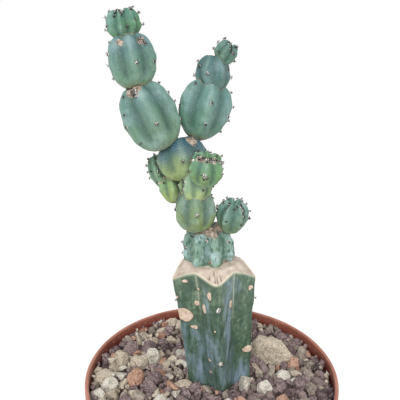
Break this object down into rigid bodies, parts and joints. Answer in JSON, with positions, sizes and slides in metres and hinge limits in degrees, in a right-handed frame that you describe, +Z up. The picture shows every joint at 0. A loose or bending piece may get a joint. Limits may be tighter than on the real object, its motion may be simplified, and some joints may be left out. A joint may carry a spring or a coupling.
{
  "type": "blue myrtle cactus in a pot",
  "caption": "Grafted blue myrtle cactus: a branching chain of round ribbed blue-green stems on a cut, ribbed rootstock, standing in mineral gravel in a round terracotta-coloured plastic pot.",
  "frame": {"origin": "middle of the pot's underside, on the plane of its foot ring", "axes": "+Z up along the pot's axis; the side of the plant that the picture shows faces -Y, with +X to the viewer's right"},
  "size_m": [0.105, 0.105, 0.2354],
  "materials": {
    "skin_blue": "waxy blue-green cactus skin with a pale bloom",
    "skin_green": "waxy green cactus skin, younger and less blue",
    "skin_lime": "waxy light green skin of new growth",
    "rootstock": "smooth dark green skin, with cork scars and a dried tan cut face",
    "pot": "moulded terracotta-coloured plastic, satin",
    "gravel": "loose lava, pumice and clinker granules, matt",
    "stone_pale": "cream pumice, matt and finely porous",
    "stone_orange": "burnt clay granule, matt",
    "stone_mauve": "mauve-brown lava, matt and pitted"
  },
  "bodies": {
    "root": {"pot": "pot", "gravel": "gravel", "rootstock": "rootstock", "stem_base": "skin_blue", "stem_trunk_1": "skin_green", "stem_side_bud": "skin_blue", "stem_trunk_2": "skin_lime", "stem_rear_bud_low": "skin_lime", "stem_rear_bud_high": "skin_green", "stem_fork": "skin_blue", "stem_front_bud": "skin_lime", "stem_left_1": "skin_blue", "stem_left_2": "skin_blue", "stem_left_tip": "skin_green", "stem_right_1": "skin_blue", "stem_right_2": "skin_blue", "stem_right_tip": "skin_green", "stone_pumice_large": "stone_pale", "stone_white_tall": "stone_pale", "stone_cream_inner": "stone_pale", "stone_cream_outer": "stone_pale", "stone_orange": "stone_orange", "stone_brown": "stone_mauve", "stone_white_left": "stone_pale", "stone_white_right": "stone_pale", "stone_mauve_right": "stone_mauve"}
  },
  "joints": []
}
